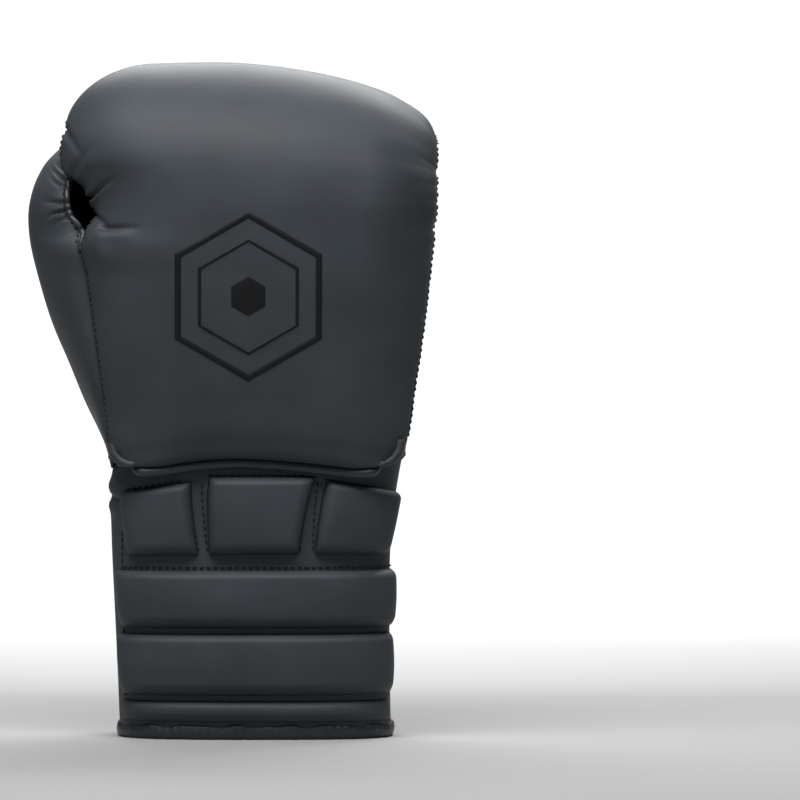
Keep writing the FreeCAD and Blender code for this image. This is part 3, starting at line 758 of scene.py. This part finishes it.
def woven(name, base, threads):
    """A plain woven cloth."""
    made = material(name, base, 0.85, 900, 0.15, sheen=0.3)
    nodes, links = made.node_tree.nodes, made.node_tree.links
    bump, where = (next(node for node in nodes if node.bl_idname == kind)
                   for kind in ("ShaderNodeBump", "ShaderNodeTexCoord"))
    product = nodes.new("ShaderNodeMath")
    product.operation = "MULTIPLY"
    for entry, direction in enumerate(("X", "Z")):
        wave = nodes.new("ShaderNodeTexWave")
        wave.bands_direction = direction
        set_inputs(wave, Scale=threads, Distortion=0.6)
        connect(links, ((where, "Object", wave, "Vector"), (wave, "Fac", product, entry)))
    links.remove(bump.inputs["Height"].links[0])
    connect(links, ((product, "Value", bump, "Height"),))
    return made


LEATHER = material("glove_leather", (0.0345, 0.0415, 0.0475), 0.56, 1500, 0.08, shine=0.24)
PALM_LEATHER = material("palm_leather", (0.0315, 0.038, 0.0435), 0.56, 1500, 0.1, shine=0.22)
PIPING = material("piping_leather", (0.021, 0.025, 0.029), 0.42, 1700, 0.12, shine=0.4)
PRINT = material("emblem", (0.0055, 0.006, 0.007), 0.5, 2200, 0.08, shine=0.2)
THREAD = material("thread", (0.006, 0.0063, 0.007), 0.6, 5200, 0.5, sheen=0.1)
BRAID = material("lace_cotton", (0.0075, 0.0078, 0.0086), 0.7, 4200, 0.6, sheen=0.12)
LINING = woven("lining_cloth", (0.011, 0.011, 0.012), 700)


def finish_piece(made, look, body=None, replaced=()):
    """Gives a piece its material and hides the CAD nodes it stands for; a piece of the cuff or the fist is
    attached to that body, one of the wrist or the thumb seam only has its placement baked into its mesh.
    """
    made.data.materials.clear()
    made.data.materials.append(look)
    if replaced:
        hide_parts(*replaced)
    if body == "wrist":
        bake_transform(made)
    elif body == "thumb_seam":
        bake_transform(made)
    else:
        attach(made, body)
    return made


# ---- the fist's padding and the thumb

padding = skin("main_padding", PADDING_POINTS)
outer_grid, inner_grid = thumb_panels()
thumb_outer = skin("thumb_outer_leather", outer_grid)
thumb_inner = skin("thumb_inner_leather", inner_grid)

# ---- the inner body, palm and cuff

middle_column = BODY_POINTS.shape[1] // 2
thumb_column = int(middle_column * 0.56)
little_column = BODY_POINTS.shape[1] - 1 - int(middle_column * 0.56)
wrist_row = int(np.argmin(np.abs(BODY_HEIGHTS - 146 * MM)))


def palm_and_sides():
    """The leather of the palm, the sides and the cuff's flaps, open only at the slit."""
    return solidified(welded(grid_object("palm_and_sides", BODY_POINTS)), LEATHER_THICKNESS)


body_leather = palm_and_sides()
back_grid = (BODY_POINTS + BODY_NORMALS * 0.9 * MM)[: wrist_row + 1, thumb_column : little_column + 1]
back_panel = skin("cuff_back", back_grid, thickness=0.9 * MM)

lining_grid = BODY_POINTS - BODY_NORMALS * 8.5 * MM
lining_grid = lining_grid[BODY_HEIGHTS < 286 * MM]
last_ring = lining_grid[-1]
lining_middle = last_ring.mean(axis=0)
dome = [
    lining_middle + (last_ring - lining_middle) * math.cos(a) + np.array([0, 0, 9 * MM * math.sin(a)])
    for a in np.linspace(0, math.pi / 2 - 0.02, 12)[1:]
]
lining = skin("lining", np.concatenate([lining_grid, np.array(dome)]), thickness=0.8 * MM)


def rim_binding():
    """The binding that wraps the cuff's edge from outside to inside."""
    profile = np.array([
        (0.1, 7.2), (1.0, 6.8), (1.6, 5.6), (1.9, 3.6), (1.7, 1.6), (0.8, 0.3), (-1.5, 0.0), (-5.0, 0.0),
        (-8.0, 0.1), (-9.6, 0.9), (-10.3, 3.0), (-10.0, 6.5), (-9.0, 7.2),
    ]) * MM
    columns = np.linspace(0, BODY_POINTS.shape[1] - 1, 420)
    ring, normals = body_at(np.full(len(columns), 4 * MM), columns)
    run = lengths(ring)
    wave = 0.35 * MM * np.sin(run / 0.023 * 2 * math.pi) + 0.25 * MM * np.sin(run / 0.0137 * 2 * math.pi + 1)
    fine = 0.16 * MM * np.sin(run / 0.0041 * 2 * math.pi + 2 * np.sin(run / 0.019))
    rows = []
    for out, height in profile[::-1]:
        upper = step(height / (6 * MM))
        point = ring + normals * (out + (fine + wave * 0.6) * (out > 0) * upper)[:, None]
        point[:, 2] = height + wave * upper + 0.05 * MM
        rows.append(point)
    return skin("hem_binding", np.array(rows), thickness=0.9 * MM)


hem = rim_binding()


def pillow(name, corners, rise, left_edge, right_edge, seed):
    """A sewn pad on the back of the cuff: flat-topped, steep at its seams, softer at the cuff's sides."""
    (ax, az), (bx, bz), (cx, cz), (dx, dz) = np.array(corners) * MM
    rows = int((dz - az) / (0.7 * MM)) + 8
    columns = int((bx - ax) / (1.0 * MM)) + 8
    b, a = np.linspace(0, 1, rows), np.linspace(0, 1, columns)
    heights = np.outer(az + (dz - az) * b, 1 - a) + np.outer(bz + (cz - bz) * b, a)
    left = np.array([column_of(ax + (dx - ax) * t, az) for t in b])
    right = np.array([column_of(bx + (cx - bx) * t, bz) for t in b])
    places = left[:, None] * (1 - a) + right[:, None] * a
    grid, normals = body_at(heights, places)
    width = np.linalg.norm(np.diff(grid[rows // 2], axis=0), axis=1).sum()
    height = np.linalg.norm(grid[-1] - grid[0], axis=1).mean()

    def rising(distance, edge):
        """From 0 at a seam to 1 at the end of its rounded edge."""
        return (1 - (1 - np.clip(distance / edge, 0, 1)) ** 2.4) ** 0.6

    upper, lower = min(4.5 * MM, 0.45 * height), min(6.5 * MM, 0.5 * height)
    across = rising(a * width, left_edge * MM) * rising((1 - a) * width, right_edge * MM)
    upright = rising(b * height, lower) * rising((1 - b) * height, upper)
    crowned = 0.82 + 0.18 * np.sin(math.pi * b)
    swell = rise * MM * np.outer(upright * crowned, across)
    level = np.minimum(b, 1 - b) * height
    pinch = gathers(a * width, 9 * MM, seed)[None] * np.exp(-level / (3.5 * MM))[:, None]
    swell *= 1 - 0.10 * pinch
    swell += undulation(grid, 40 * MM, 0.28 * MM, int(10 * seed)) * np.outer(upright, across)
    return skin(name, grid + normals * (swell + 1.0 * MM)[..., None], thickness=1.2 * MM)


pads = {
    label: pillow(label + "_cover", *shape, 0.3 + 1.1 * index)
    for index, (label, shape) in enumerate(PADS.items())
}

# ---- the lacing

def facing(side):
    """The strip that carries the lace holes on one side of the slit, up to the top of its arch."""
    inner = facing_line(0.4 * MM)
    inner = inner[: len(inner) // 2 + 1]
    z = np.linspace(2.5, 165, 200)
    turn = np.linspace(0, math.pi / 2, 120)[1:]
    straight = np.stack([-(25 + 6.5 * z / 165), z], axis=1)
    arch = np.stack([-31.5 * np.cos(turn), 165 + 53 * np.sin(turn)], axis=1)
    border = resampled(np.concatenate([straight, arch]) * MM, len(inner))
    t = np.linspace(0, 1, 26)
    flat = inner[:, None] * (1 - t[None, :, None]) + border[:, None] * t[None, :, None]
    flat[-1, :, 0] = 0
    flat[..., 0] *= -side
    if side > 0:
        flat = flat[:, ::-1]
    places = on_palm(flat.reshape(-1, 2), 1.0 * MM).reshape(*flat.shape[:2], 3)
    return grid_object("facing", places), border * [-side, 1]


half_thumb, border_thumb = facing(-1)
half_little, border_little = facing(1)
lace_facing = solidified(welded(join("lace_facing", [half_thumb, half_little])), 1.0 * MM)


def slit_piping():
    """The slit's rolled edge, in one length from the rim over the slit's top and back."""
    flat = facing_line(1.1 * MM, 900)
    flat = flat[flat[:, 1] > 0.5 * MM]
    line = on_palm(flat, 1.0 * MM)
    run = lengths(line)
    bent = bell(line[:, 2] - SLIT_TOP, 22 * MM)
    fold = gathers(run, 4.6 * MM, 0.4)
    wrinkle = 1 - (0.05 + 0.16 * bent) * fold + 0.03 * np.sin(run / 0.0037 * 2 * math.pi)
    return tube("slit_piping", line, circle(18) * (PIPING_HALF * wrinkle)[:, None, None])


piping = slit_piping()


def lace_line():
    """The lace's route: in and out of its holes, two strands that cross at every row."""
    strands = []
    rows = LACE_ROWS[::-1]
    for strand, first_side in enumerate((1, -1)):
        side = first_side
        stops = [(side * 2.5, 46.5, 7.5), (side * 8, 46.5, 9.5)]
        for crossing, (row, above) in enumerate(zip(rows, rows[1:] + [None])):
            goes_in = crossing % 2 == 0
            x = side * LACE_HALF
            hole = [(x, 45.2, row), (x + side * 1.2, 43.5, row), (x + side * 1.2, 36, row), (x, 29.5, row)]
            stops += hole if goes_in else hole[::-1]
            if above:
                over = crossing // 2 % 2 == strand
                middle = (row + above) / 2
                slope = (above - row) / (2 * LACE_HALF)
                if goes_in:
                    stops.append((0, 25 if over else 30, middle))
                else:
                    depth = 52.4 if over else 46.4
                    stops += [(reach * 5.5, depth, middle - way * 5.5 * slope)
                              for reach, way in ((side, 1), (-side, -1))]
                side = -side
        strands.append(stops)
    joined = strands[0] + strands[1][::-1]
    return smooth_line(np.array(joined) * MM, 1900)


lace_points = lace_line()
lace = tube("lace", lace_points, braid(lace_points, LACE_RADIUS))


def knot_piece():
    """The knot that ties the lace's two ends: a closed overhand knot drawn tight."""
    t = np.linspace(0, 2 * math.pi, 260, endpoint=False)
    line = np.stack([
        (np.sin(t) + 2 * np.sin(2 * t)) * 3.1,
        47.6 + np.sin(3 * t) * 2.6,
        10.4 + (np.cos(t) - 2 * np.cos(2 * t)) * 1.85,
    ], axis=1) * MM
    return tube("lace_knot_braid", line, braid(line, KNOT_RADIUS), closed=True)


knot = knot_piece()


def lace_hole_marks():
    """The dark punched holes that the lace runs through."""
    pieces = []
    profile = ((4.2, 1.05), (3.9, 1.35), (3.5, 1.2), (3.2, 0.4), (0.05, -0.5))
    for row in LACE_ROWS:
        for side in (-1, 1):
            middle = np.array([side * (LACE_HALF + 0.9), row])
            rings = [on_palm((middle + radius * circle(24)) * MM, lift * MM) for radius, lift in profile]
            pieces.append(grid_object("hole", np.array(rings), closed=True))
    return join("lace_holes", pieces)


holes = lace_hole_marks()

# ---- seams and stitches

def pad_stitches(corners, gap, sides):
    """Stitch rows round a pad, a gap outside its seam: sides picks them from left, right, top and bottom."""
    (ax, az), (bx, bz), (cx, cz), (dx, dz) = np.array(corners) * MM
    gap *= MM
    ends = {
        "left": ((ax - gap, az), (dx - gap, dz)),
        "right": ((bx + gap, bz), (cx + gap, cz)),
        "top": ((dx, dz + gap), (cx, cz + gap)),
        "bottom": ((ax, az - gap), (bx, bz - gap)),
    }
    pieces = []
    for side in sides:
        (x0, z0), (x1, z1) = ends[side]
        t = np.linspace(0, 1, 60)
        heights = z0 + (z1 - z0) * t
        first, last = column_of(x0, z0), column_of(x1, z1)
        points, normals = body_at(heights, first + (last - first) * t)
        pieces.append(stitch_row("stitch", points + normals * (1.1 * MM), normals))
    return join("rows", pieces)


pad_rows = join("pad_stitches", [
    pad_stitches(PADS["wrist_pad_thumb_side"][0], 0.5, ("right", "top", "left")),
    pad_stitches(PADS["wrist_pad_centre"][0], 0.5, ("left", "right", "top")),
    pad_stitches(PADS["wrist_pad_little_side"][0], 0.5, ("left", "top", "right")),
    pad_stitches(PADS["wrist_roll_upper"][0], 1.5, ("top",)),
    pad_stitches([(-62.2, 8), (64, 8.2), (66, 120), (-63.6, 120)], 0.2, ("left",)),
])

palm_tree = tree_of(lace_facing, body_leather)


def palm_stitches(line, sideways):
    """Stitch rows on the palm along a line (x, z), one for each sideways shift."""
    pieces = []
    for shift in sideways:
        points, normals = cast(palm_tree, line + shift * leftward(line), -1)
        pieces.append(stitch_row("stitch", points + normals * STITCH_LIFT, normals))
    return join("rows", pieces)


def palm_curve(points, count=160):
    """A smooth line through a few points (x, z) in millimetres."""
    points = np.array(points, float) * MM
    line = smooth_line(np.column_stack([points[:, 0], np.zeros(len(points)), points[:, 1]]), count)
    return line[:, [0, 2]]


slit_rows = facing_line(0, 500)
slit_rows = slit_rows[slit_rows[:, 1] > 7 * MM]
arch_line = np.concatenate([border_thumb, border_little[::-1]])
arch_line = arch_line[arch_line[:, 1] > 6 * MM]
apart = np.linalg.norm(np.diff(arch_line, axis=0), axis=1) > 1e-6
arch_line = np.concatenate([arch_line[:1], arch_line[1:][apart]])
BAND = [(-49, 218), (-50, 200), (-52.6, 182), (-57, 164), (-61.5, 150), (-65, 139)]
BAND_INNER = [(-38.5, 214), (-40.5, 195), (-44.5, 175), (-50, 157), (-57.5, 140)]
palm_rows = join("palm_stitches", [
    palm_stitches(slit_rows, (4.5 * MM,)),
    palm_stitches(arch_line, (-1.5 * MM, -4.3 * MM)),
    palm_stitches(palm_curve(BAND), (0,)),
    palm_stitches(palm_curve(BAND_INNER), (0, 2.2 * MM)),
    palm_stitches(palm_curve([(66, 201), (54, 211), (42, 222)]), (0, 2.2 * MM)),
])

padding_tree = tree_of(padding)
thumb_tree = tree_of(thumb_outer, thumb_inner)


def seam_stitches(name, tree, lines):
    """Stitch rows on a surface along lines near it, each line given with its pitch in millimetres."""
    pieces = []
    for line, pitch in lines:
        points, normals = nearest(tree, line)
        pieces.append(stitch_row("rows", points, normals, pitch=pitch * MM))
    return join(name, pieces)


edge_line = PADDING_POINTS[:, 4]
seam_part = edge_line[(edge_line[:, 1] < 0) & (edge_line[:, 2] < SEAM_TOP)]
padding_rows = seam_stitches("padding_stitches", padding_tree, (
    (seam_part, 3.0), (PADDING_POINTS[20:, -5], 3.2), (PADDING_POINTS[120:, 4], 3.2),
))
rim_seam = outer_grid[outer_grid[:, -4, 2] > SEAM_TOP - 8 * MM, -4]
thumb_rows = seam_stitches("thumb_stitches", thumb_tree, (
    (outer_grid[:, 3], 3.4), (inner_grid[:, -5], 3.4), (rim_seam, 3.0),
))


def thumb_seam_welt():
    """The thin welt sewn into the thumb's palm seam, and the turned rim of its opening."""
    welt = tube("welt", outer_grid[:, 0], 0.9 * MM * circle(8))
    rim = outer_grid[outer_grid[:, -1, 2] > SEAM_TOP - 10 * MM, -1]
    edge = tube("rim", rim, 1.5 * MM * circle(10))
    return join("thumb_welt", [welt, edge])


welt = thumb_seam_welt()


def wrist_piping():
    """The rolled strip sewn under the lower edge of the padding."""
    line = PADDING_POINTS[2, 12:-12]
    line = line[::2] + np.array([0, 0.8, -2.2]) * MM
    run = lengths(line)
    ends = step(np.minimum(run, run[-1] - run) / (14 * MM))
    inward = np.column_stack([-5 * np.sign(line[:, 0]), np.full(len(line), 4), np.ones(len(line))])
    line = line + (1 - ends[:, None]) * inward * MM
    return tube("wrist_piping", line, circle(16) * (2.6 * MM * (0.35 + 0.65 * ends))[:, None, None])


rolled_edge = wrist_piping()


def emblem():
    """A plain sewn-on mark on the back of the hand: six-sided rings round a six-sided centre."""
    centre = np.array([-4, 214]) * MM

    def hexagon(radius):
        """Points round a hexagon, 50 to a side."""
        corners = [(radius * math.sin(k * math.pi / 3), radius * math.cos(k * math.pi / 3)) for k in range(6)]
        return resampled(np.array(corners + corners[:1]) * MM, 301)[:-1]

    marks = []
    for outside, inside, last in ((41, 37, -0.1), (28, 26, -0.1), (10, 0.1, 0.42)):
        rings = []
        for share, lift in zip(np.linspace(0, 1, 5), (-0.1, 0.42, 0.5, 0.42, last)):
            line = hexagon(outside) * (1 - share) + hexagon(inside) * share
            points, normals = cast(padding_tree, line + centre, 1)
            rings.append(points + normals * (lift * MM))
        marks.append(grid_object("mark", np.array(rings), closed=True))
    return join("emblem", marks)


mark = emblem()


def lock_strap():
    """The short strap that ties the thumb's tip to the side of the finger roll."""
    t = np.linspace(0, 1, 24)[:, None, None]
    s = np.linspace(-1, 1, 10)[None, :, None]
    start, lead, end = np.array([[-68, 33, 291], [-63, 40, 297], [-58, 45, 297]]) * MM
    spine = start * (1 - t) ** 2 + 2 * lead * t * (1 - t) + end * t**2
    grid = spine + s * np.array([-2.5, -1.5, 3.2]) * MM
    return skin("thumb_lock_strap", grid, thickness=1.8 * MM)


strap = lock_strap()


def side_gusset():
    """The folded leather between the padding's thumb-side edge and the thumb's tip."""
    edge = PADDING_POINTS[:, 1]
    start = int(np.argmax(edge[:, 2] > 0.291))
    stop = len(edge) - 1 - int(np.argmax(edge[::-1, 2] > 0.262))
    at = np.linspace(0, lengths(edge[start:stop])[-1], 200)
    edge = resampled(edge[start:stop], 200)
    low = np.array([-60, 12, 272]) * MM
    foot = low + (edge - low) * np.array([0.05, 0.35, 0.05])
    w = np.linspace(0, 1, 60)[None, :, None]
    share = at / at[-1]
    bulge = 15 * MM * np.sin(math.pi * np.clip(share * 1.05, 0, 1)) ** 0.6
    folds = gathers(at, 13 * MM, 0.35)
    outward = np.array([-0.96, 0.0, 0.28])
    arch = np.sin(math.pi * w[..., 0] ** 0.8)
    swell = bulge[:, None] * arch - 3.2 * MM * folds[:, None] * arch**0.5
    grid = edge[:, None] * (1 - w) + foot[:, None] * w + outward * swell[..., None]
    return skin("thumb_side_gusset", grid[::-1], thickness=1.4 * MM)


gusset = side_gusset()

# ---- riding, replacing and looks

finish_piece(padding, LEATHER, "fist",
             ("main_leather", "knuckle_foam_outer", "knuckle_foam_inner"))
finish_piece(body_leather, PALM_LEATHER, "wrist",
             ("palm_leather", "side_leather_little", "palm_foam", "side_foam_thumb", "side_foam_little",
              "cuff_flap_thumb_side", "cuff_flap_little_side"))
finish_piece(gusset, PALM_LEATHER, "fist", ("side_leather_thumb",))
finish_piece(thumb_outer, LEATHER, "thumb_seam",
             ("thumb_leather_outer", "thumb_foam"))
finish_piece(thumb_inner, PALM_LEATHER, "thumb_seam",
             ("thumb_leather_inner", "thumb_lining"))
finish_piece(strap, PALM_LEATHER, "thumb_seam", ("thumb_lock",))
finish_piece(back_panel, LEATHER, "wrist", ("cuff_back_leather", "cuff_foam"))
finish_piece(lace_facing, PALM_LEATHER, "wrist",
             ("lace_stay_thumb_side", "palm_stay", "lace_stay_little_side"))
finish_piece(piping, PIPING, "wrist",
             ("slit_piping_palm", "slit_piping_thumb_side", "slit_piping_little_side"))
finish_piece(hem, PIPING, "cuff", ("rim_binding",))
finish_piece(lining, LINING, "wrist", ("cuff_lining", "hand_lining"))
finish_piece(lace, BRAID, "wrist", ("lace",))
finish_piece(knot, BRAID, "cuff", ("lace_knot",))
finish_piece(holes, PIPING, "wrist")
finish_piece(rolled_edge, PIPING, "fist")
finish_piece(welt, PIPING, "thumb_seam")
finish_piece(mark, PRINT, "fist")
STITCHES = (pad_rows, palm_rows, padding_rows, thumb_rows)
for stitches, body in zip(STITCHES, ("cuff", "wrist", "fist", "thumb_seam")):
    finish_piece(stitches, THREAD, body)
for label, cover in pads.items():
    finish_piece(cover, LEATHER, "cuff", (label,))
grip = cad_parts["grip_bar"]
grip.data.materials.clear()
grip.data.materials.append(PALM_LEATHER)

# ---- floor, light and camera

def stage_paint(name, color, glow, fade_from=None, fade_to=None):
    """A matt pale paint that glows by itself, everywhere or more and more between two depths."""
    paint, nodes, links, shader = new_material(name)
    set_inputs(shader, Base_Color=(color, color, color, 1), Roughness=0.9, Specular_IOR_Level=0,
               Emission_Color=(1, 1, 1, 1), Emission_Strength=glow)
    if fade_to is not None:
        place = nodes.new("ShaderNodeTexCoord")
        split = nodes.new("ShaderNodeSeparateXYZ")
        fade = nodes.new("ShaderNodeMapRange")
        set_inputs(fade, From_Min=fade_from, From_Max=fade_to, To_Max=glow)
        connect(links, (
            (place, "Object", split, "Vector"),
            (split, "Y", fade, "Value"),
            (fade, "Result", shader, "Emission Strength"),
        ))
    return paint


def stage():
    """A pale floor and, behind the glove, a pale wall only as large as the picture needs."""
    floor = np.array([[(1.5, -1.5, 0), (1.5, 1.2, 0)], [(-1.5, -1.5, 0), (-1.5, 1.2, 0)]])
    wall = np.array([[(-1.1, 3.2, -0.4), (-1.1, 3.2, 1.2)], [(1.7, 3.2, -0.4), (1.7, 3.2, 1.2)]])
    for name, corners, paint in (
        ("floor", floor, stage_paint("floor_paint", 0.36, 0.95, 0.3, 1.15)),
        ("backdrop", wall, stage_paint("wall_paint", 0.8, 1.0)),
    ):
        made = grid_object(name, corners)
        made.data.materials.append(paint)


def area_light(name, place, target, size, power):
    """A soft box that faces a point."""
    data = bpy.data.lights.new(name, "AREA")
    data.shape = "RECTANGLE"
    data.size, data.size_y = size
    data.energy = power
    made = bpy.data.objects.new(name, data)
    made.location = place
    made.rotation_euler = (Vector(target) - Vector(place)).to_track_quat("-Z", "Y").to_euler()
    bpy.context.collection.objects.link(made)


stage()
GLOVE_MIDDLE = (-0.012, 0, 0.17)
area_light("top_front", (-0.08, -0.42, 0.86), GLOVE_MIDDLE, (0.9, 0.35), 10.5)
area_light("front", (-0.9, -1.7, 0.8), GLOVE_MIDDLE, (1.0, 0.8), 2.5)
area_light("palm", (0.12, 0.5, 0.86), GLOVE_MIDDLE, (0.9, 0.35), 12)

world = bpy.data.worlds.new("studio")
world.use_nodes = True
set_inputs(world.node_tree.nodes["Background"], Color=(0.93, 0.95, 1.0, 1), Strength=0.07)
bpy.context.scene.world = world
bpy.context.scene.view_settings.view_transform = "Standard"

# The camera looks straight at the back of the hand. Its shift puts the glove left of the middle.
CAMERA_DISTANCE = 2.4
VIEW_HEIGHT = 0.3855
CAMERA_HEIGHT = 0.1645
lens = bpy.data.cameras.new("camera")
lens.sensor_width = 36
lens.lens = lens.sensor_width * CAMERA_DISTANCE / VIEW_HEIGHT
lens.shift_x = 0.2105
camera = bpy.data.objects.new("camera", lens)
camera.location = (GLOVE_MIDDLE[0], -CAMERA_DISTANCE - 0.05, CAMERA_HEIGHT)
camera.rotation_euler = (math.pi / 2, 0, 0)
bpy.context.collection.objects.link(camera)
bpy.context.scene.camera = camera
